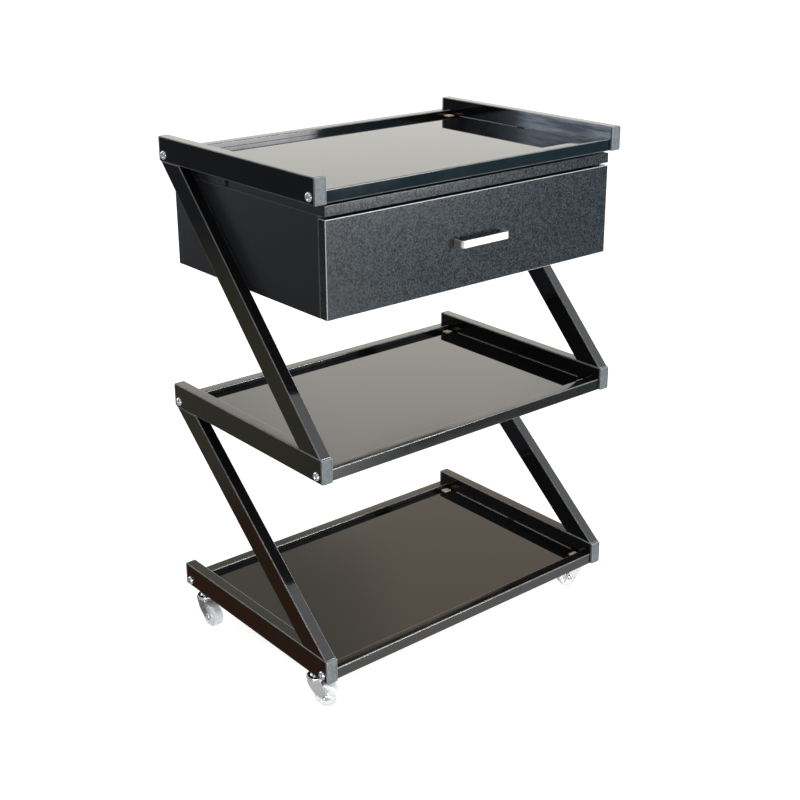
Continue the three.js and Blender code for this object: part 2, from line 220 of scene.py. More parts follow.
def satin_grey_plastic():
    """The end caps' plastic: mottled grey, with a painted highlight along its edges."""
    paint = Paint("satin_grey_plastic", IOR=1.48)
    cloud = paint.noise(0.005, 4, 0.7)
    mottle = paint.spread(cloud, 0.35, 0.65, 0, 1)
    body = paint.mixed(mottle, (0.085, 0.098, 0.106), (0.155, 0.173, 0.183))
    # pale rims: a painted highlight along the cap's rounded edges
    paint.edge_highlight_colour(body, 0.55, (0.50, 0.53, 0.55))
    paint.roughness(paint.spread(paint.noise(0.003, 3), 0.3, 0.7, 0.34, 0.5))
    paint.relief((paint.noise(0.0007, 2), 0.00003))
    return paint.material


def black_mirror_glass():
    """Black glass with wiping marks, a little dust and a very slight waviness."""
    paint = Paint("black_mirror_glass", IOR=1.52)
    haze = paint.noise(0.16, 4)
    body = paint.mixed(haze, (0.0020, 0.0021, 0.0022), (0.0046, 0.0043, 0.0040))
    dust = paint.times(paint.specks(0.013, 0.05), 0.35)
    paint.colour(paint.mixed(dust, body, (0.16, 0.16, 0.15)))
    wiped = paint.noise(0.05, 5, 0.65, paint.stretched((0.35, 1, 1)))
    paint.roughness(paint.spread(wiped, 0.35, 0.8, 0.012, 0.05))
    paint.relief((paint.noise(0.3, 1), 0.00006))
    return paint.material


def polished_glass_edge():
    """The glass's ground rim, greenish and finely scratched."""
    paint = Paint("polished_glass_edge", IOR=1.52)
    ground = paint.noise(0.0015, 3, 0.6, paint.stretched((0.2, 0.2, 1)))
    paint.colour(paint.mixed(ground, (0.020, 0.040, 0.036), (0.085, 0.125, 0.115)))
    paint.roughness(paint.spread(ground, 0.3, 0.7, 0.08, 0.22))
    paint.relief((ground, 0.00001))
    return paint.material


def charcoal_board():
    """The cabinet's plain dark boards."""
    paint = Paint("charcoal_board", IOR=1.46)
    fine = paint.noise(0.0016, 4, 0.7)
    broad = paint.noise(0.05, 3)
    body = paint.mixed(fine, (0.0045, 0.005, 0.0065), (0.012, 0.013, 0.016))
    shaded = paint.mixed(paint.times(broad, 0.35), body, (0.012, 0.012, 0.014))
    # paler rounded edges: a painted highlight, like the light line along the side panel's top
    paint.edge_highlight_colour(shaded, 0.7, (0.17, 0.175, 0.18))
    paint.roughness(paint.spread(fine, 0.3, 0.7, 0.42, 0.58))
    paint.relief((paint.noise(0.0009, 3, 0.6), 0.00006))
    return paint.material


def speckled_board(name, edge_colour, edge_share):
    """Dark laminate with fine grey flecks; its edges get another colour, a painted highlight."""
    paint = Paint(name, IOR=1.46)
    flecks = paint.noise(0.0027, 3, 0.6)
    clumps = paint.noise(0.013, 2)
    fleck_share = 0.8
    pepper = paint.math("ADD", paint.times(flecks, fleck_share), paint.times(clumps, 1 - fleck_share))
    sharpened = paint.spread(pepper, 0.38, 0.68, 0, 1)
    body = paint.mixed(sharpened, (0.0010, 0.0014, 0.0022), (0.043, 0.048, 0.056))
    rub = paint.times(paint.noise(0.12, 3), 0.05)
    rubbed = paint.mixed(rub, body, (0.04, 0.042, 0.045))
    # edges in another colour: a painted highlight along the rounded edges
    paint.edge_highlight_colour(rubbed, edge_share, edge_colour)
    paint.roughness(paint.spread(flecks, 0.35, 0.65, 0.17, 0.27))
    paint.relief((flecks, 0.00012), (paint.noise(0.0013, 2), 0.00002))
    return paint.material


def drawer_box_board():
    """The drawer box's woven-look board."""
    paint = Paint("drawer_box_board", IOR=1.46)
    weave = paint.noise(0.0022, 4, 0.6, paint.stretched((1, 0.25, 1)))
    body = paint.mixed(weave, (0.038, 0.038, 0.041), (0.080, 0.079, 0.082))
    # paler rounded edges: a painted highlight
    paint.edge_highlight_colour(body, 0.5, (0.16, 0.155, 0.15))
    paint.roughness(paint.spread(weave, 0.3, 0.7, 0.45, 0.62))
    paint.relief((weave, 0.00005))
    return paint.material


def brushed_aluminium():
    """Aluminium brushed along X."""
    paint = Paint("brushed_aluminium", Metallic=1.0, Anisotropic=0.35)
    brush = paint.noise(0.0009, 4, 0.7, paint.stretched((0.03, 1, 1)))
    body = paint.mixed(brush, (0.74, 0.75, 0.76), (0.93, 0.94, 0.95))
    # white rounded edges: a painted highlight on the handle's edges
    paint.edge_highlight_colour(body, 0.3, (1.0, 1.0, 1.0))
    paint.roughness(paint.spread(brush, 0.25, 0.75, 0.36, 0.48))
    paint.relief((brush, 0.000008))
    return paint.material


def metal(name, dark, light, rough_low, rough_high, grain=0.004):
    """Bare or plated metal, clouded at the size of its grain."""
    paint = Paint(name, Metallic=1.0)
    cloud = paint.noise(grain, 4, 0.6)
    paint.colour(paint.mixed(cloud, dark, light))
    paint.roughness(paint.spread(paint.noise(grain * 0.7, 3), 0.3, 0.7, rough_low, rough_high))
    paint.relief((paint.noise(grain * 0.3, 2), 0.000008))
    return paint.material


def pale_nylon():
    """The wheels' pale nylon, scuffed in patches."""
    paint = Paint("pale_nylon", IOR=1.5)
    cloud = paint.noise(0.006, 4)
    body = paint.mixed(cloud, (0.78, 0.785, 0.785), (0.90, 0.90, 0.895))
    scuffed = paint.spread(paint.noise(0.0022, 5, 0.7), 0.55, 0.75, 0, 0.35)
    paint.colour(paint.mixed(scuffed, body, (0.42, 0.415, 0.41)))
    paint.roughness(paint.spread(paint.noise(0.002, 3), 0.3, 0.7, 0.36, 0.55))
    paint.relief((paint.noise(0.0011, 3), 0.00005))
    return paint.material


def moulded(name, dark, light, rough_low, rough_high):
    """Moulded plastic with a slightly uneven colour and skin."""
    paint = Paint(name, IOR=1.48)
    cloud = paint.noise(0.003, 4, 0.6)
    paint.colour(paint.mixed(cloud, dark, light))
    paint.roughness(paint.spread(cloud, 0.3, 0.7, rough_low, rough_high))
    paint.relief((paint.noise(0.0009, 3), 0.00004))
    return paint.material


PAINT = gloss_black_paint("gloss_black_paint")
# the right top bar's paint has a painted window reflection in streaks along its inner face
REFLECTION_STREAKED_PAINT = gloss_black_paint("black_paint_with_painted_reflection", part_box("bar_right_top"))
CAP = satin_grey_plastic()
GLASS = black_mirror_glass()
GLASS_EDGE = polished_glass_edge()
BOARD = charcoal_board()
# the pale edges of the drawer front and the dimmer ones of the top strip are painted highlights
FRONT = speckled_board("speckled_front", (0.80, 0.84, 0.85), 1.0)
STRIP = speckled_board("speckled_strip", (0.10, 0.105, 0.11), 0.5)
DRAWER_BOARD = drawer_box_board()
ALUMINIUM = brushed_aluminium()
PLATING = metal("bright_plating", (0.70, 0.71, 0.72), (0.93, 0.94, 0.95), 0.12, 0.28)
FORK_PLATE = metal("satin_fork_plate", (0.78, 0.79, 0.80), (0.95, 0.96, 0.97), 0.24, 0.34, 0.011)
ZINC = metal("zinc_plate", (0.42, 0.43, 0.44), (0.66, 0.67, 0.68), 0.22, 0.40, 0.007)
BRACKET = metal("dulled_bracket_steel", (0.05, 0.052, 0.056), (0.15, 0.155, 0.16), 0.22, 0.40, 0.006)
DARK_STEEL = metal("greased_bearing_steel", (0.03, 0.03, 0.032), (0.10, 0.10, 0.10), 0.25, 0.45)
NYLON = pale_nylon()
TAN_PAD = moulded("tan_corner_pad", (0.74, 0.48, 0.30), (0.95, 0.78, 0.60), 0.45, 0.65)
PALE_STRIP = moulded("pale_glazing_strip", (0.20, 0.21, 0.215), (0.34, 0.35, 0.35), 0.35, 0.5)
DARK_CLIP = moulded("dark_strip_clip", (0.012, 0.012, 0.013), (0.03, 0.03, 0.03), 0.35, 0.55)


# ---- Mesh work ----

def mark_rounded_edges(bm):
    """Writes 1 in the "edge" layer at points that touch only the narrow faces of a rounded edge."""
    layer = bm.verts.layers.float.new("edge")
    for vert in bm.verts:
        widths = [f.calc_area() / max(e.calc_length() for e in f.edges) for f in vert.link_faces]
        vert[layer] = 1.0 if widths and max(widths) < NARROW_FACE else 0.0


def add_piece(name, bm, finishes, body, slot, *replaced):
    """A finished piece from its mesh work, smooth but for its sharp edges: what it rides on, a slot
    that is not used, and the CAD nodes that it stands for. It frees bm."""
    bmesh.ops.recalc_face_normals(bm, faces=bm.faces)
    for face in bm.faces:
        face.smooth = True
    for edge in bm.edges:
        edge.smooth = len(edge.link_faces) == 2 and edge.calc_face_angle(0) < SHARP_ANGLE
    mark_rounded_edges(bm)
    mesh = bpy.data.meshes.new(name)
    bm.to_mesh(mesh)
    bm.free()
    piece = bpy.data.objects.new(name, mesh)
    bpy.context.scene.collection.objects.link(piece)
    for material in finishes:
        mesh.materials.append(material)
    even = piece.modifiers.new("even_normals", "WEIGHTED_NORMAL")
    even.keep_sharp = True
    even.weight = 100
    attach(piece, body)
    if replaced:
        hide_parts(*replaced)


def rounded_rectangle(width, height, radius, steps=4):
    """Points (u, v) round a rectangle with rounded corners, centred on (0, 0)."""
    points = []
    for turn, (u, v) in enumerate(((1, 1), (-1, 1), (-1, -1), (1, -1))):
        for step in range(steps + 1):
            angle = math.radians(90 * (turn + step / steps))
            points.append((u * (width / 2 - radius) + radius * math.cos(angle),
                           v * (height / 2 - radius) + radius * math.sin(angle)))
    return points


def rounded_outline(corners, radius, steps=4):
    """The corners (u, v) of an outline, each rounded to the radius or as far as its sides allow."""
    points = []
    count = len(corners)
    for i in range(count):
        before, corner, after = (Vector(corners[(i + k) % count]) for k in (-1, 0, 1))
        to_before, to_after = before - corner, after - corner
        reach = min(radius, 0.45 * to_before.length, 0.45 * to_after.length)
        start = corner + to_before.normalized() * reach
        end = corner + to_after.normalized() * reach
        for step in range(steps + 1):
            t = step / steps
            points.append(tuple(start * (1 - t) ** 2 + corner * 2 * t * (1 - t) + end * t ** 2))
    return points


def skin(bm, loops, closed=False):
    """Faces between loops of equally many points. The ends are filled, unless the last meets the first."""
    rings = [[bm.verts.new(point) for point in loop] for loop in loops]
    pairs = list(zip(rings, rings[1:]))
    if closed:
        pairs.append((rings[-1], rings[0]))
    for ring, following in pairs:
        for i in range(len(ring)):
            j = (i + 1) % len(ring)
            bm.faces.new((ring[i], ring[j], following[j], following[i]))
    if not closed:
        bm.faces.new(list(reversed(rings[0])))
        bm.faces.new(rings[-1])


def round_edges(bm, radius, steps=2, edges=None):
    """Rounds the given edges, or all of them."""
    bmesh.ops.bevel(bm, geom=list(edges or bm.edges), offset=radius, segments=steps, profile=0.5,
                    affect="EDGES", clamp_overlap=True)


def block(bm, low, high, radius, steps=2):
    """A box between two corners with its edges rounded."""
    part = bmesh.new()
    bmesh.ops.create_cube(part, size=1)
    low, high = Vector(low), Vector(high)
    size = high - low
    for vert in part.verts:
        vert.co = Vector((low[k] + (vert.co[k] + 0.5) * size[k] for k in range(3)))
    round_edges(part, radius, steps)
    merge(bm, part)


def merge(bm, part, matrix=None):
    """Adds a part's mesh to bm, moved by the matrix, and frees the part."""
    if matrix is not None:
        part.transform(matrix)
    mesh = bpy.data.meshes.new("part")
    part.to_mesh(mesh)
    part.free()
    bm.from_mesh(mesh)
    bpy.data.meshes.remove(mesh)


def turned(bm, rings, steps, matrix, closed=False):
    """A solid turned about Z from (radius, height) rings, where a radius may be a function of the angle.
    A closed one is a ring whose points go all the way round its section."""
    part = bmesh.new()
    loops = []
    for radius, height in rings:
        loop = []
        for i in range(steps):
            angle = 2 * math.pi * i / steps
            reach = radius(angle) if callable(radius) else radius
            loop.append((reach * math.cos(angle), reach * math.sin(angle), height))
        loops.append(loop)
    skin(part, loops, closed)
    merge(bm, part, matrix)


def hexagon(across_flats):
    """The radius of a hexagon as a function of the angle."""
    def radius(angle):
        return across_flats / 2 / math.cos((angle + math.pi / 6) % (math.pi / 3) - math.pi / 6)
    return radius


def cross_recess(reach):
    """The radius of a cross-shaped screw recess as a function of the angle."""
    return lambda angle: reach * (0.32 + 0.68 * abs(math.cos(2 * angle)) ** 6)


def facing(direction, origin):
    """A matrix that stands a piece turned about Z on origin, pointing along direction."""
    turn = Vector(direction).to_track_quat("Z", "Y").to_matrix().to_4x4()
    return Matrix.Translation(origin) @ turn


def plate(bm, outline, thickness, radius, matrix):
    """A flat plate: an outline (u, v), thick about w = 0, with its rims softened, placed by the matrix."""
    part = bmesh.new()
    half = thickness / 2
    skin(part, [[(u, v, -half) for u, v in outline], [(u, v, half) for u, v in outline]])
    same_height = 1e-9
    rims = [e for e in part.edges if abs(e.verts[0].co.z - e.verts[1].co.z) < same_height]
    round_edges(part, radius, 2, rims)
    merge(bm, part, matrix)


def basis(origin, u, v, w):
    """A matrix that takes (u, v, w) coordinates to the row frame."""
    matrix = Matrix((u, v, w)).transposed().to_4x4()
    matrix.translation = origin
    return matrix


def tube(bm, start, end, side, width, height, wall, radius, cut=None):
    """A hollow rectangular tube. Its ends are square, or lie in the planes through start and end that
    face along cut."""
    axis = (end - start).normalized()
    cut = cut or axis
    rise = axis.cross(side).normalized()

    def loop(outline, centre):
        points = []
        for u, v in outline:
            offset = side * u + rise * v
            points.append(centre + offset - axis * (offset.dot(cut) / axis.dot(cut)))
        return points

    outer = rounded_rectangle(width, height, radius)
    inner = rounded_rectangle(width - 2 * wall, height - 2 * wall, radius / 3)
    lip = 0.25 * MM
    eased = rounded_rectangle(width - 2 * lip, height - 2 * lip, radius - lip)
    inset = axis * lip
    skin(bm, [
        loop(inner, start), loop(eased, start), loop(outer, start + inset),
        loop(outer, end - inset), loop(eased, end), loop(inner, end),
    ], closed=True)


def swept(bm, points, profile, rise, closed=False):
    """A profile (u, v) carried along points, with v kept along rise and mitred at each bend."""
    loops = []
    count = len(points)
    for i, point in enumerate(points):
        before = points[i - 1] if closed or i > 0 else None
        after = points[(i + 1) % count] if closed or i < count - 1 else None
        ahead = (after - point).normalized() if after is not None else None
        behind = (point - before).normalized() if before is not None else None
        travel = ((ahead or behind) + (behind or ahead)).normalized()
        side = travel.cross(rise).normalized()
        stretch = 1 / max(0.5, travel.dot(ahead or behind))
        loops.append([point + side * u * stretch + rise * v for u, v in profile])
    skin(bm, loops, closed)


def arc(centre, radius, start, end, steps):
    """Points (u, v) along an arc, with its angles in degrees."""
    return [(centre[0] + radius * math.cos(math.radians(start + (end - start) * i / steps)),
             centre[1] + radius * math.sin(math.radians(start + (end - start) * i / steps)))
            for i in range(steps + 1)]


# ---- Side frames ----

TUBE_WALL = 1.5 * MM
TUBE_RADIUS = 1.9 * MM
WELD = lengths(radius=1.0, sunk=0.6)


def middle(node):
    """The middle of a CAD node's box."""
    low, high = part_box(node)
    return (low + high) / 2


def make_bar(side, level):
    """A horizontal side bar, open at both ends for its caps."""
    node = f"bar_{side}_{level}"
    low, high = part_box(node)
    centre = (low + high) / 2
    start = Vector((centre.x, low.y, centre.z))
    end = Vector((centre.x, high.y, centre.z))
    bm = bmesh.new()
    tube(bm, start, end, ACROSS, high.x - low.x, high.z - low.z, TUBE_WALL, TUBE_RADIUS)
    # the right top bar takes the paint with the painted reflection streaks
    finish = REFLECTION_STREAKED_PAINT if node == "bar_right_top" else PAINT
    add_piece(f"frame_{node}", bm, [finish], "frame", "frame_black", node)


def make_brace(side, name):
    """A diagonal from the front of one bar to the back of the next, and the weld round each end."""
    node = f"brace_{side}_{name}"
    low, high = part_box(node)
    bar_low, bar_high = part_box(f"bar_{side}_bottom")
    depth = bar_high.z - bar_low.z
    run, rise = high.y - low.y, high.z - low.z
    lean = math.atan2(rise, run) + math.asin(depth / math.hypot(run, rise))
    flat = depth / math.sin(lean)
    x = (low.x + high.x) / 2
    start = Vector((x, low.y + flat / 2, low.z))
    end = Vector((x, high.y - flat / 2, high.z))
    width = high.x - low.x
    bm = bmesh.new()
    tube(bm, start, end, ACROSS, width, depth, TUBE_WALL, TUBE_RADIUS, cut=UP)
    add_piece(f"frame_{node}", bm, [PAINT], "frame", "frame_black", node)

    weld = bmesh.new()
    bead = arc((0, 0), WELD["radius"], 0, 315, 7)
    for centre in (start, end):
        outline = rounded_rectangle(width - WELD["sunk"], flat - WELD["sunk"], TUBE_RADIUS, 3)
        swept(weld, [centre + ACROSS * u + ALONG * v for u, v in outline], bead, UP, closed=True)
    add_piece(f"weld_{side}_{name}", weld, [PAINT], "frame", "frame_black")


CAP_SHAPE = lengths(plug=12, corner=1.9, face_gap=0.3, play=0.3)


def make_end_cap(side, level, end, sign):
    """A moulded cap: a plug in the tube, a flange with softened edges and a shallow panel in its face."""
    node = f"end_cap_{side}_{level}_{end}"
    low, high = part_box(node)
    bar_low, bar_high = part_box(f"bar_{side}_{level}")
    width, height = high.x - low.x, high.z - low.z
    centre = (low + high) / 2
    face_y = high.y if sign > 0 else low.y
    bar_end = bar_high.y if sign > 0 else bar_low.y
    flange = abs(face_y - bar_end) - CAP_SHAPE["face_gap"]
    plug_end = flange + CAP_SHAPE["plug"]
    fit = TUBE_WALL + CAP_SHAPE["play"]

    def loop(inset, depth):
        """The cap's outline, inset from its flange and depth behind its face."""
        radius = max(CAP_SHAPE["corner"] - inset, 0.5 * MM)
        outline = rounded_rectangle(width - 2 * inset, height - 2 * inset, radius)
        return [Vector((centre.x + u, face_y - sign * depth, centre.z + v)) for u, v in outline]

    bm = bmesh.new()
    skin(bm, [
        loop(fit + 0.6 * MM, plug_end), loop(fit, plug_end - 1.5 * MM), loop(fit, flange), loop(0, flange),
        loop(0, 0.8 * MM), loop(0.25 * MM, 0.25 * MM), loop(0.8 * MM, 0),
        loop(2.0 * MM, 0), loop(2.3 * MM, 0.35 * MM),
    ])
    add_piece(f"cap_{side}_{level}_{end}", bm, [CAP], "frame", "cap_grey", node)


BOLT = lengths(radius=7.2, height=4, socket=5.4, above_rail=11, from_front=10, from_back=11)


def socket_bolt(bm, radius, height, socket, matrix):
    """A button-head bolt with a hexagonal socket."""
    turned(bm, [
        (0.9 * radius, 0), (radius, 0.08 * height), (radius, 0.2 * height), (0.94 * radius, 0.5 * height),
        (0.8 * radius, 0.8 * height), (0.62 * radius, 0.96 * height), (0.52 * radius, height),
        (hexagon(socket), 0.9 * height), (hexagon(0.96 * socket), 0.28 * height),
        (0.2 * socket, 0.16 * height),
    ], 48, matrix)


def make_frame_bolts(side, sign, level):
    """The two bolts that go through a side bar into the ends of that level's rails."""
    bar_low, bar_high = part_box(f"bar_{side}_{level}")
    face_x = bar_high.x if sign > 0 else bar_low.x
    spots = {"front": bar_low.y + BOLT["from_front"], "back": bar_high.y - BOLT["from_back"]}
    for end, y in spots.items():
        rail_low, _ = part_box(f"rail_{level}_{end}")
        bm = bmesh.new()
        socket_bolt(bm, BOLT["radius"], BOLT["height"], BOLT["socket"],
                    facing((sign, 0, 0), (face_x, y, rail_low.z + BOLT["above_rail"])))
        add_piece(f"bolt_{side}_{level}_{end}", bm, [PLATING], "frame", "bright_plating")


for side, sign in SIDES:
    for level in LEVELS:
        make_bar(side, level)
        make_frame_bolts(side, sign, level)
        for end, end_sign in ENDS:
            make_end_cap(side, level, end, end_sign)
    for name in ("lower", "upper"):
        make_brace(side, name)


# ---- Rails, glass and what holds it ----

RAIL_TAB = lengths(x=24, low=2.5, high=5.5, corner=2)
GLASS_NOTCH = lengths(x=18, y=16)
GLASS_RIM = 0.7 * MM


def make_rail(level, end, sign):
    """A square cross rail with the tab at each end that carries a corner of the glass."""
    node = f"rail_{level}_{end}"
    low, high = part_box(node)
    side = high.z - low.z
    outer_y = high.y if sign > 0 else low.y
    inner_y = low.y if sign > 0 else high.y
    centre_y = outer_y - sign * side / 2
    centre_z = (low.z + high.z) / 2
    bm = bmesh.new()
    tube(bm, Vector((low.x, centre_y, centre_z)), Vector((high.x, centre_y, centre_z)), ALONG,
         side, side, TUBE_WALL, TUBE_RADIUS)
    y0, y1 = sorted((inner_y, outer_y - sign * side))
    tab_z = low.z + (RAIL_TAB["low"] + RAIL_TAB["high"]) / 2
    for x0, x1 in ((low.x, low.x + RAIL_TAB["x"]), (high.x - RAIL_TAB["x"], high.x)):
        outline = rounded_outline([(x0, y0), (x1, y0), (x1, y1), (x0, y1)], RAIL_TAB["corner"])
        plate(bm, outline, RAIL_TAB["high"] - RAIL_TAB["low"], 0.4 * MM, Matrix.Translation((0, 0, tab_z)))
    add_piece(f"frame_{node}", bm, [PAINT], "frame", "frame_black", node)


def moved_inwards(outline, amount):
    """An outline that runs anticlockwise, moved inwards evenly."""
    points = []
    count = len(outline)
    for i in range(count):
        before, here, after = (Vector(outline[(i + k) % count]) for k in (-1, 0, 1))
        along = ((here - before).normalized() + (after - here).normalized()).normalized()
        points.append(here + Vector((-along.y, along.x)) * amount)
    return points


def make_glass(level):
    """A sheet of black glass with notched corners and a ground and polished rim."""
    node = f"glass_shelf_{level}"
    low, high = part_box(node)
    corners = []
    for sx, sy, order in ((1, 1, 0), (-1, 1, 1), (-1, -1, 0), (1, -1, 1)):
        x = high.x if sx > 0 else low.x
        y = high.y if sy > 0 else low.y
        inner_x, inner_y = x - sx * GLASS_NOTCH["x"], y - sy * GLASS_NOTCH["y"]
        step = [(x, inner_y), (inner_x, inner_y), (inner_x, y)]
        corners += step[::-1] if order else step
    outline = rounded_outline(corners, 1.6 * MM, 3)
    levels_and_insets = (
        (low.z, GLASS_RIM), (low.z + GLASS_RIM, 0), (high.z - GLASS_RIM, 0),
        (high.z - 0.3 * GLASS_RIM, 0.3 * GLASS_RIM), (high.z, GLASS_RIM),
    )
    bm = bmesh.new()
    skin(bm, [[(*p, z) for p in moved_inwards(outline, inset)] for z, inset in levels_and_insets])
    for face in bm.faces:
        face.material_index = 0 if len(face.verts) > 4 else 1
    add_piece(f"shelf_{level}_glass", bm, [GLASS, GLASS_EDGE], "frame", "black_glass", node)


PAD = {"x": (1.5 * MM, 16.5 * MM), "y": (1.0 * MM, 14.5 * MM), "below": 0.3 * MM, "above": 1.2 * MM}
STRIP_FIT = lengths(
    gap=0.25, from_corner=27, clip_half=9, clip_play=0.5,
    strip_low=1, strip_high=0.8, clip_low=0.5, clip_high=1.5,
)


def make_corner_pads(level):
    """The tan pads that lie on the tabs in the notched corners of the glass."""
    glass_low, glass_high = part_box(f"glass_shelf_{level}")
    for side, sx in SIDES:
        for end, sy in ENDS:
            x = glass_high.x if sx > 0 else glass_low.x
            y = glass_high.y if sy > 0 else glass_low.y
            xs = sorted(x - sx * inset for inset in PAD["x"])
            ys = sorted(y - sy * inset for inset in PAD["y"])
            bm = bmesh.new()
            block(bm, (xs[0], ys[0], glass_low.z - PAD["below"]),
                  (xs[1], ys[1], glass_high.z + PAD["above"]), 0.8 * MM)
            add_piece(f"corner_pad_{level}_{end}_{side}", bm, [TAN_PAD], "frame", "pale_nylon")


def make_glazing_strips(level):
    """A thin pale strip along each side edge of the glass, held at the middle by a small dark clip."""
    low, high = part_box(f"glass_shelf_{level}")
    fit = STRIP_FIT
    centre_y = (low.y + high.y) / 2
    for side, sign in SIDES:
        bar_low, bar_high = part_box(f"bar_{side}_{level}")
        face = bar_low.x if sign > 0 else bar_high.x
        edge = high.x if sign > 0 else low.x
        xs = sorted((edge + sign * fit["gap"], face - sign * fit["gap"]))
        halves = (
            (low.y + fit["from_corner"], centre_y - fit["clip_half"]),
            (centre_y + fit["clip_half"], high.y - fit["from_corner"]),
        )
        strip = bmesh.new()
        for y0, y1 in halves:
            block(strip, (xs[0], y0, low.z + fit["strip_low"]),
                  (xs[1], y1, high.z + fit["strip_high"]), 0.5 * MM)
        add_piece(f"glazing_strip_{level}_{side}", strip, [PALE_STRIP], "frame", "pale_nylon")
        clip_reach = fit["clip_half"] - fit["clip_play"]
        clip = bmesh.new()
        block(clip, (xs[0], centre_y - clip_reach, low.z + fit["clip_low"]),
              (xs[1], centre_y + clip_reach, high.z + fit["clip_high"]), 0.5 * MM)
        add_piece(f"glazing_clip_{level}_{side}", clip, [DARK_CLIP], "frame", "frame_black")


for level in LEVELS:
    make_glass(level)
    make_corner_pads(level)
    make_glazing_strips(level)
    for end, sign in ENDS:
        make_rail(level, end, sign)


# ---- Cabinet ----

def make_board(node, name, radius, body, slot, finish, front_finish=None):
    """A board in a CAD node's place, with softened edges and perhaps another finish on its front face."""
    low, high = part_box(node)
    bm = bmesh.new()
    block(bm, low, high, radius)
    if front_finish:
        bm.normal_update()
        for face in bm.faces:
            face.material_index = int(face.normal.y < -0.5)
    finishes = (finish, front_finish) if front_finish else (finish,)
    add_piece(name, bm, finishes, body, slot, node)


def screw_head(bm, radius, height, matrix):
    """A pan-head screw with a cross recess."""
    turned(bm, [
        (0.9 * radius, 0), (radius, 0.15 * height), (0.97 * radius, 0.5 * height),
        (0.8 * radius, 0.85 * height), (0.62 * radius, height),
        (cross_recess(0.6 * radius), 0.97 * height), (cross_recess(0.45 * radius), 0.35 * height),
        (0.1 * radius, 0.2 * height),
    ], 40, matrix)


make_board("cabinet_top", "cabinet_top_panel", 0.6 * MM, "frame", "charcoal_board", BOARD, STRIP)
make_board("cabinet_back", "cabinet_back_panel", 0.5 * MM, "frame", "charcoal_board", BOARD)
make_board("cabinet_bottom", "cabinet_bottom_panel", 0.5 * MM, "frame", "charcoal_board", BOARD)
for side, _ in SIDES:
    make_board(f"cabinet_side_{side}", f"cabinet_{side}_panel", 0.9 * MM, "frame", "charcoal_board", BOARD)


def make_back_screws():
    """Screws through the back panel into the edges of the sides and the bottom."""
    low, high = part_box("cabinet_back")
    from_side, from_end = 8 * MM, 28 * MM
    bm = bmesh.new()
    spots = [(x, z) for x in (low.x + from_side, high.x - from_side)
             for z in (low.z + from_end, (low.z + high.z) / 2, high.z - from_end)]
    spots += [(k * (high.x - low.x) / 4, middle("cabinet_bottom").z) for k in (-1, 0, 1)]
    for x, z in spots:
        screw_head(bm, 3.6 * MM, 1.8 * MM, facing((0, 1, 0), (x, high.y, z)))
    add_piece("back_panel_screws", bm, [ZINC], "frame", "zinc_steel")


def make_bracket(side, sign):
    """A bent steel angle that hangs the cabinet from the top bar, and the screw in it."""
    node = f"cabinet_bracket_{side}"
    low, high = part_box(node)
    sheet = 1.5 * MM
    wall = high.x if sign < 0 else low.x
    foot = low.x if sign < 0 else high.x
    section = [(foot, high.z - sheet), (wall + sign * sheet, high.z - sheet), (wall + sign * sheet, low.z),
               (wall, low.z), (wall, high.z), (foot, high.z)]
    outline = rounded_outline(section, 1.0 * MM, 3)
    bm = bmesh.new()
    centre_y = (low.y + high.y) / 2
    screw_z = low.z + 0.3 * (high.z - low.z)
    plate(bm, outline, high.y - low.y, 0.3 * MM, basis((0, centre_y, 0), ACROSS, UP, -ALONG))
    screw_head(bm, 2.6 * MM, 1.6 * MM, facing((sign, 0, 0), (wall + sign * sheet, centre_y, screw_z)))
    add_piece(f"hanger_{side}", bm, [BRACKET], "frame", "zinc_steel", node)


make_back_screws()
for side, sign in SIDES:
    make_bracket(side, sign)


# ---- Drawer ----

make_board("drawer_front", "drawer_front_board", 1.3 * MM, "drawer", "speckled_front", FRONT)
for side, _ in SIDES:
    make_board(f"drawer_side_{side}", f"drawer_box_{side}", 0.8 * MM, "drawer", "drawer_board",
               DRAWER_BOARD)
make_board("drawer_back", "drawer_box_back", 0.8 * MM, "drawer", "drawer_board", DRAWER_BOARD)
make_board("drawer_bottom", "drawer_box_bottom", 0.4 * MM, "drawer", "drawer_board", DRAWER_BOARD)


def make_handle():
    """A flat strap bent into a bow, with the screws that hold it from inside the drawer front."""
    low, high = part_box("drawer_handle")
    _, front_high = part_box("drawer_front")
    strap, corner, steps = 3.5 * MM, 6.5 * MM, 14
    path_radius = corner - strap / 2
    left, right = low.x + strap / 2, high.x - strap / 2
    front = low.y + strap / 2
    outline = [(left, high.y), (left, (high.y + front) / 2)]
    outline += arc((left + path_radius, front + path_radius), path_radius, 180, 270, steps)
    outline += [((left + right) / 2, front)]
    outline += arc((right - path_radius, front + path_radius), path_radius, 270, 360, steps)
    outline += [(right, (high.y + front) / 2), (right, high.y)]
    centre_z = (low.z + high.z) / 2
    bm = bmesh.new()
    swept(bm, [Vector((x, y, centre_z)) for x, y in outline],
          rounded_rectangle(strap, high.z - low.z, 1.3 * MM, 4), UP)
    add_piece("handle_bow", bm, [ALUMINIUM], "drawer", "satin_aluminium", "drawer_handle")
    screws = bmesh.new()
    for x in (left, right):
        screw_head(screws, 4.2 * MM, 2.2 * MM, facing((0, 1, 0), (x, front_high.y, centre_z)))
    add_piece("handle_screws", screws, [ZINC], "drawer", "zinc_steel")


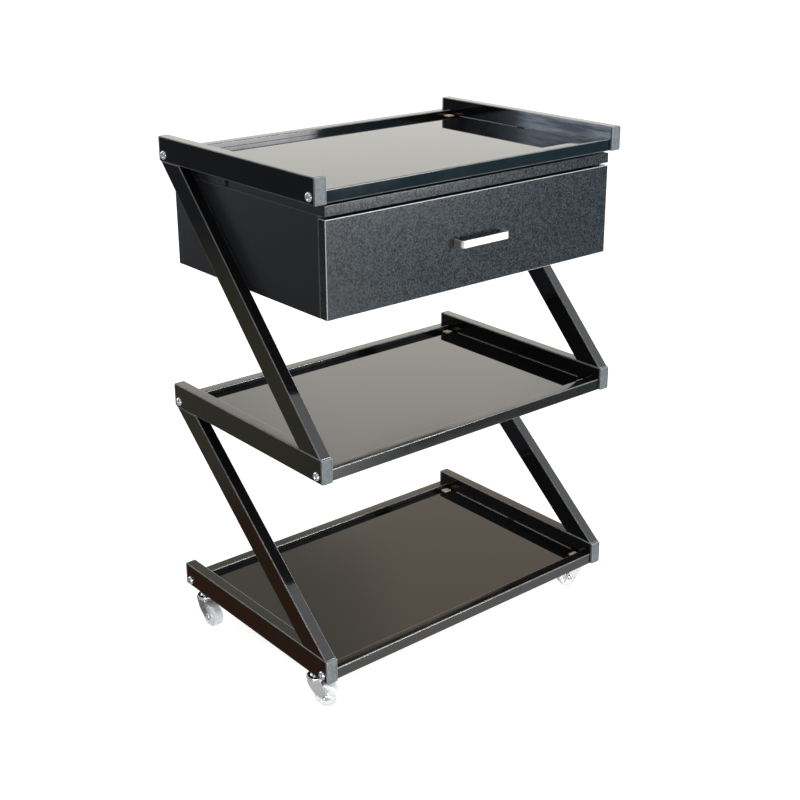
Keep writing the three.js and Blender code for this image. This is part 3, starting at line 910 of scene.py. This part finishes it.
def make_runner(kind, side, sign, body):
    """A folded channel and its screws. The fixed one opens inwards, the moving one outwards."""
    node = f"runner_{kind}_{side}"
    low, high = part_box(node)
    sheet = 1.5 * MM
    outer, inner = (high.x, low.x) if sign > 0 else (low.x, high.x)
    back, mouth = (outer, inner) if kind == "fixed" else (inner, outer)
    toward = math.copysign(sheet, mouth - back)
    section = [(back, low.z), (mouth, low.z), (mouth, low.z + sheet), (back + toward, low.z + sheet),
               (back + toward, high.z - sheet), (mouth, high.z - sheet), (mouth, high.z), (back, high.z)]
    bm = bmesh.new()
    centre_y = (low.y + high.y) / 2
    plate(bm, rounded_outline(section, 0.6 * MM, 2), high.y - low.y, 0.3 * MM,
          basis((0, centre_y, 0), ACROSS, UP, -ALONG))
    for share in (0.12, 0.5, 0.88):
        y = low.y + share * (high.y - low.y)
        screw_head(bm, 3.4 * MM, 1.5 * MM,
                   facing((toward, 0, 0), (back + toward, y, (low.z + high.z) / 2)))
    add_piece(f"slide_{kind}_{side}", bm, [ZINC], body, "zinc_steel", node)


make_handle()
for side, sign in SIDES:
    make_runner("fixed", side, sign, "frame")
    make_runner("moving", side, sign, "drawer")


# ---- Casters ----

NUT = lengths(gap=0.3, depth=3.7, flats=13.6)
CUP_DEPTH = 5 * MM
LEG = lengths(y=11, sheet=1.8, boss=6.5)
FORK_HEAD = lengths(depth=3, rim=13.9, hole=4.5, front=-10.2, rear=9.5)


def make_caster_stem(name):
    """The nut against the bar, the tapered post below it, the dark bearing cap and the kingpin."""
    node = f"caster_stem_{name}"
    low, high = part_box(node)
    bar_low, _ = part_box("bar_left_bottom")
    nut_top = bar_low.z - NUT["gap"]
    nut_bottom = nut_top - NUT["depth"]
    cup_bottom = nut_bottom - CUP_DEPTH
    stand = Matrix.Translation(((low.x + high.x) / 2, (low.y + high.y) / 2, 0))
    hexagonal = hexagon(NUT["flats"])
    bm = bmesh.new()
    turned(bm, [
        (4.0 * MM, nut_bottom), (6.6 * MM, nut_bottom), (7.2 * MM, nut_bottom + 0.5 * MM),
        (hexagonal, nut_bottom + 0.9 * MM), (hexagonal, nut_top - 0.7 * MM),
        (7.0 * MM, nut_top - 0.1 * MM), (6.4 * MM, nut_top), (4.9 * MM, nut_top),
        (4.9 * MM, high.z - 0.8 * MM), (4.2 * MM, high.z),
    ], 48, stand)
    turned(bm, [
        (8.4 * MM, cup_bottom + 2.2 * MM), (9.0 * MM, cup_bottom + 2.4 * MM),
        (8.2 * MM, cup_bottom + 3.6 * MM), (6.4 * MM, nut_bottom - 0.3 * MM),
        (6.0 * MM, nut_bottom + 0.1 * MM),
    ], 48, stand)
    add_piece(f"stem_{name}", bm, [PLATING], "frame", "bright_plating", node)
    cap = bmesh.new()
    turned(cap, [
        (3.4 * MM, low.z), (5.6 * MM, low.z + 0.6 * MM), (6.0 * MM, low.z + 1.6 * MM),
        (5.6 * MM, low.z + 2.4 * MM), (4.0 * MM, low.z + 2.5 * MM), (4.0 * MM, cup_bottom),
        (11.4 * MM, cup_bottom), (12.2 * MM, cup_bottom + 0.6 * MM), (12.0 * MM, cup_bottom + 1.4 * MM),
        (8.8 * MM, cup_bottom + 2.3 * MM),
    ], 48, stand)
    add_piece(f"bearing_cap_{name}", cap, [DARK_STEEL], "frame", "bright_plating")


def fork_head(bm, top, here):
    """The fork's rolled rim and the flat head inside it."""
    rim, head_bottom = FORK_HEAD["rim"], top - FORK_HEAD["depth"]
    turns = (2 * math.pi * k / 12 for k in range(12))
    section = [(rim + 1.1 * MM * math.cos(a), top + 0.6 * MM + 2.2 * MM * math.sin(a)) for a in turns]
    turned(bm, section, 56, here, closed=True)
    turned(bm, [
        (FORK_HEAD["hole"], head_bottom), (rim, head_bottom), (rim + 0.9 * MM, head_bottom + 1.0 * MM),
        (rim, top - 0.6 * MM), (12.6 * MM, top - 0.9 * MM), (12.4 * MM, top - 1.2 * MM),
        (FORK_HEAD["hole"], top - 1.2 * MM),
    ], 56, here, closed=True)


def points_along(corners, count):
    """Points spread over a line of corners, as many between any two of them."""
    points = []
    for k in range(count):
        t = k / (count - 1) * (len(corners) - 1)
        i = min(int(t), len(corners) - 2)
        f = t - i
        points.append(tuple(a * (1 - f) + b * f for a, b in zip(corners[i], corners[i + 1])))
    return points


def fork_wall(bm, front_edge, here):
    """The curved wall round the fork's front, from leg to leg, flatter towards its foot."""
    rows, steps = 10, 14
    half_width = LEG["y"] + 0.5 * LEG["sheet"]
    loops = []
    for k, (x, z) in enumerate(points_along(front_edge, rows)):
        bulge = (4.6 - 2.8 * k / (rows - 1)) * MM
        turns = [math.pi * j / steps for j in range(steps + 1)]
        outer = [(x - bulge * math.sin(a), -half_width * math.cos(a), z) for a in turns]
        inner = [(px + 0.9 * LEG["sheet"] * math.sin(a), py * (1 - LEG["sheet"] / LEG["y"]), z)
                 for a, (px, py, _) in zip(turns, outer)]
        loops.append(outer + inner[::-1])
    wall = bmesh.new()
    skin(wall, loops)
    merge(bm, wall, here)


def make_axle(name, hub, across):
    """The axle through the wheel, with a riveted head outside each leg."""
    bm = bmesh.new()
    tip = LEG["y"] + LEG["sheet"] / 2
    for sign in (-1, 1):
        outward = across * sign
        turned(bm, [
            (4.6 * MM, -0.1 * MM), (4.8 * MM, 0.5 * MM), (4.3 * MM, 1.4 * MM), (3.0 * MM, 2.1 * MM),
            (2.4 * MM, 2.15 * MM), (2.0 * MM, 1.5 * MM), (0.3 * MM, 1.3 * MM),
        ], 32, facing(outward, hub + outward * tip))
    turned(bm, [(3.9 * MM, -tip), (3.9 * MM, tip)], 32, facing(across, hub))
    add_piece(f"axle_{name}", bm, [PLATING], f"fork_{name}", "bright_plating")


def make_caster_fork(name):
    """The pressed fork: rolled rim and head, two legs that taper to the axle, and the wall in front."""
    node = f"caster_fork_{name}"
    _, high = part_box(node)
    pin = middle(f"caster_stem_{name}")
    hub = middle(f"caster_wheel_{name}")
    trail = Vector((hub.x - pin.x, hub.y - pin.y, 0))
    ahead = trail.normalized()
    across = UP.cross(ahead)
    top = high.z
    here = basis((pin.x, pin.y, 0), ahead, across, UP)
    bm = bmesh.new()
    fork_head(bm, top, here)

    front_x, rear_x = FORK_HEAD["front"], FORK_HEAD["rear"]
    shoulder = top - FORK_HEAD["depth"] - 1.0 * MM
    front_edge = [(front_x, top - 1.0 * MM), (front_x + 0.2 * MM, shoulder),
                  (-7.0 * MM, hub.z + 17.5 * MM), (-2.6 * MM, hub.z + 9.5 * MM)]
    foot = [(4.0 * MM, hub.z + 1.0 * MM)] + arc((trail.length, hub.z), LEG["boss"], 215, 372, 16)
    rear_edge = [(rear_x + 8.0 * MM, hub.z + 13 * MM), (rear_x + 2.0 * MM, shoulder - 2 * MM),
                 (rear_x, shoulder + 1 * MM), (rear_x, top - 1.0 * MM)]
    upright = basis((pin.x, pin.y, 0), ahead, UP, -across)
    for sign in (-1, 1):
        side_of = upright @ Matrix.Translation((0, 0, -sign * LEG["y"]))
        plate(bm, front_edge + foot + rear_edge, LEG["sheet"], 0.35 * MM, side_of)
    fork_wall(bm, front_edge, here)
    add_piece(f"fork_{name}", bm, [FORK_PLATE], f"fork_{name}", "bright_plating", node)
    make_axle(name, hub, across)


WHEEL = {
    "radius": 20 * MM, "half": 8.5 * MM, "bore": 4.3 * MM, "hub": 7.6 * MM, "dish": 15.2 * MM,
    "shoulder": 3.2 * MM, "dish_depth": 2.5 * MM, "spokes": 6,
}


def make_caster_wheel(name):
    """A moulded nylon wheel: crowned tread with a parting line, dished faces and a raised hub."""
    node = f"caster_wheel_{name}"
    joint = next(j for j in frame["joints"] if j["child"] == f"wheel_{name}")
    centre = Vector(joint["pos_m"])
    axis = Vector(joint["axis"]).normalized()
    radius, half, shoulder = WHEEL["radius"], WHEEL["half"], WHEEL["shoulder"]
    bore, hub, dish = WHEEL["bore"], WHEEL["hub"], WHEEL["dish"]
    dish_z = half - WHEEL["dish_depth"]
    rounded_shoulder = arc((half - shoulder, radius - shoulder), shoulder, 0, 90, 6)
    half_section = [
        (bore, half - 0.4 * MM), (bore + 0.4 * MM, half), (hub - 0.5 * MM, half), (hub, half - 0.5 * MM),
        (hub + 0.5 * MM, dish_z + 0.4 * MM), (hub + 1.0 * MM, dish_z),
        (dish - 0.8 * MM, dish_z), (dish - 0.2 * MM, dish_z + 0.4 * MM), (dish, half - 0.4 * MM),
        (dish + 0.5 * MM, half),
    ]
    half_section += [(r, z) for z, r in rounded_shoulder]
    half_section += [(radius, 0.5 * MM), (radius - 0.25 * MM, 0)]
    mirrored = [(r, -z) for r, z in half_section[-2::-1]]
    bm = bmesh.new()
    turned(bm, half_section + mirrored, 72, facing(axis, centre), closed=True)
    for sign in (-1, 1):
        stand = facing(axis * sign, centre)
        for k in range(WHEEL["spokes"]):
            spoke = bmesh.new()
            block(spoke, (hub + 0.2 * MM, -0.8 * MM, dish_z - 0.5 * MM),
                  (dish, 0.8 * MM, half - 1.1 * MM), 0.3 * MM)
            merge(bm, spoke, stand @ Matrix.Rotation(2 * math.pi * k / WHEEL["spokes"], 4, "Z"))
    add_piece(f"wheel_{name}_nylon", bm, [NYLON], f"wheel_{name}", "pale_nylon", node)


for name in CASTERS:
    make_caster_stem(name)
    make_caster_fork(name)
    make_caster_wheel(name)


# ---- Floor, light and camera ----

FLOOR = {"size": 60, "cells": 8, "glow": 0.85}
WHITE = (1.0, 1.0, 0.99)


def make_floor():
    """A plain pale floor. Reflections look past it to the studio's own lower half, below."""
    bm = bmesh.new()
    bmesh.ops.create_grid(bm, x_segments=FLOOR["cells"], y_segments=FLOOR["cells"], size=FLOOR["size"] / 2)
    mesh = bpy.data.meshes.new("floor")
    bm.to_mesh(mesh)
    bm.free()
    floor = bpy.data.objects.new("floor", mesh)
    bpy.context.scene.collection.objects.link(floor)
    paint = Paint("pale_floor", Roughness=0.9, Specular_IOR_Level=0.0, Emission_Strength=FLOOR["glow"])
    paint.shader.inputs["Emission Color"].default_value = (*WHITE, 1)
    paint.colour(paint.mixed(paint.noise(0.5, 3), (0.46, 0.46, 0.457), (0.50, 0.50, 0.497)))
    mesh.materials.append(paint.material)
    floor.visible_glossy = False
    floor.visible_diffuse = False


def heading(azimuth, elevation):
    """The direction at an azimuth, clockwise from +Y, and an elevation, in degrees."""
    a, e = math.radians(azimuth), math.radians(elevation)
    return Vector((math.sin(a) * math.cos(e), math.cos(a) * math.cos(e), math.sin(e)))


# What the glossy surfaces see, each laid over the ones before it: name, azimuth clockwise from +Y,
# elevation, the angle within which a patch is full, the angle at which it is gone, and its colour.
PATCHES = (
    ("back_right_wall", 38, 6, 22, 50, (1.40, 1.37, 1.28)),
    ("back_right_upper_wall", 40, 20, 3, 8.5, (1.75, 1.68, 1.53)),
    ("back_right_warm_wall", 43, 31, 5, 9, (0.96, 0.81, 0.66)),
    ("back_right_olive_wall", 30, 31, 4, 9, (0.60, 0.57, 0.46)),
    ("back_right_ceiling_line", 42, 47, 6, 15, (0.35, 0.31, 0.26)),
    ("right_window", 64, -8, 8, 13, (4.0, 4.0, 4.1)),
    ("back_left_upper_wall", -22, 40, 10, 26, (1.2, 1.23, 1.27)),
    ("back_left_gloom", -34, -12, 18, 34, (0.08, 0.085, 0.10)),
    ("back_left_middle", -33, -21, 3, 8, (0.24, 0.235, 0.165)),
    ("back_left_floor", -33, -31, 4, 7, (0.155, 0.065, 0.03)),
    ("left_window", -50, 9.5, 4.5, 6.5, (2.2, 2.6, 3.2)),
    ("left_wall", 250, 38, 10, 34, (0.9, 0.9, 0.92)),
    ("front_right_wall", 136, -4, 14, 34, (0.13, 0.36, 0.48)),
    ("front_right_dark_floor", 133, -21, 5, 10, (0.33, 0.37, 0.37)),
    ("front_right_floor", 136, -33, 6, 11, (1.30, 1.28, 1.22)),
    ("window_glare_on_floor", 156, -23, 8, 15, (3.5, 3.4, 3.3)),
    ("ceiling", 118, 52, 18, 48, (1.7, 1.75, 1.77)),
)
AMBIENT = (0.10, 0.105, 0.115)
BELOW = (0.42, 0.42, 0.42)
HORIZON = 0.12  # half the height of the band where BELOW turns into AMBIENT


def soft_step(tree, value, start, end):
    """0 where value is below start, 1 where it is above end."""
    node = tree.nodes.new("ShaderNodeMapRange")
    node.interpolation_type = "SMOOTHSTEP"
    node.inputs["From Min"].default_value = start
    node.inputs["From Max"].default_value = end
    tree.links.new(value, node.inputs["Value"])
    return node.outputs["Result"]


def make_world():
    """Surroundings of soft light patches, placed by direction. The camera itself sees plain white."""
    world = bpy.data.worlds.new("studio")
    bpy.context.scene.world = world
    world.use_nodes = True
    tree = world.node_tree
    tree.nodes.clear()
    direction = tree.nodes.new("ShaderNodeTexCoord").outputs["Generated"]
    axes = tree.nodes.new("ShaderNodeSeparateXYZ")
    tree.links.new(direction, axes.inputs["Vector"])
    glow = mixed_colour(tree, soft_step(tree, axes.outputs["Z"], -HORIZON, HORIZON), BELOW, AMBIENT)
    for _, azimuth, elevation, full, gone, colour in PATCHES:
        nearness = tree.nodes.new("ShaderNodeVectorMath")
        nearness.operation = "DOT_PRODUCT"
        seen, centre = nearness.inputs[:2]
        tree.links.new(direction, seen)
        centre.default_value = heading(azimuth, elevation)
        share = soft_step(tree, nearness.outputs["Value"],
                          math.cos(math.radians(gone)), math.cos(math.radians(full)))
        glow = mixed_colour(tree, share, glow, colour)
    camera_ray = tree.nodes.new("ShaderNodeLightPath").outputs["Is Camera Ray"]
    background = tree.nodes.new("ShaderNodeBackground")
    tree.links.new(mixed_colour(tree, camera_ray, glow, WHITE), background.inputs["Color"])
    output = tree.nodes.new("ShaderNodeOutputWorld")
    tree.links.new(background.outputs["Background"], output.inputs["Surface"])


# Name, height that it aims at, azimuth, elevation, distance, width, height, beam angle, watts, colour.
SOFTBOXES = (
    ("window", 0.43, 149.5, 8.5, 3.4, 0.8, 1.3, 180, 72, (0.97, 0.99, 1.0)),
    ("side_window", 0.43, 84, 19, 3.2, 0.5, 1.0, 180, 10, (0.97, 0.99, 1.0)),
    ("front_left_glow", 0.43, 196, 10, 3.4, 0.6, 1.1, 180, 9, (0.97, 0.98, 1.0)),
    ("back_left", 0.43, -26, 12, 3.0, 0.5, 1.0, 180, 11, (0.97, 0.98, 1.0)),
    ("overhead", 0.43, 90, 80, 2.6, 1.6, 1.6, 180, 11, (1.0, 1.0, 0.98)),
    ("caster_fill", 0.05, 225, 5, 1.5, 1.0, 0.2, 60, 1.4, (1.0, 1.0, 1.0)),
)
UNMIRRORED = ("side_window",)  # softboxes that the glass would show as hard white rectangles


def make_lights():
    """Soft rectangular lights round the cart, each facing the height that it aims at."""
    for name, aim, azimuth, elevation, distance, width, height, beam, watts, colour in SOFTBOXES:
        light = bpy.data.lights.new(name, "AREA")
        light.shape = "RECTANGLE"
        light.size, light.size_y = width, height
        light.spread = math.radians(beam)
        light.energy = watts
        light.color = colour
        lamp = bpy.data.objects.new(name, light)
        bpy.context.scene.collection.objects.link(lamp)
        outward = heading(azimuth, elevation)
        lamp.location = UP * aim + outward * distance
        lamp.rotation_mode = "QUATERNION"
        lamp.rotation_quaternion = outward.to_track_quat("Z", "Y")
        lamp.visible_camera = False
        lamp.visible_glossy = name not in UNMIRRORED


CAMERA = {
    "place": Vector((-1.3543, -1.6456, 1.2451)), "azimuth": 39.59, "elevation": -19.26, "roll": -0.28,
    "sensor": 36, "lens": 59.51, "rise": -0.07, "near": 0.05, "far": 100,
}


def make_camera():
    """A camera at the front left, looking a little down on the cart."""
    data = bpy.data.cameras.new("camera")
    camera = bpy.data.objects.new("camera", data)
    bpy.context.scene.collection.objects.link(camera)
    ahead = heading(CAMERA["azimuth"], CAMERA["elevation"])
    turn = ahead.to_track_quat("-Z", "Y").to_matrix().to_4x4()
    roll = Matrix.Rotation(math.radians(CAMERA["roll"]), 4, "Z")
    camera.matrix_world = Matrix.Translation(CAMERA["place"]) @ turn @ roll
    data.sensor_width = CAMERA["sensor"]
    data.lens = CAMERA["lens"]
    data.shift_y = CAMERA["rise"]
    data.clip_start = CAMERA["near"]
    data.clip_end = CAMERA["far"]
    bpy.context.scene.camera = camera


make_floor()
make_world()
make_lights()
make_camera()
bpy.context.scene.view_settings.view_transform = "Standard"
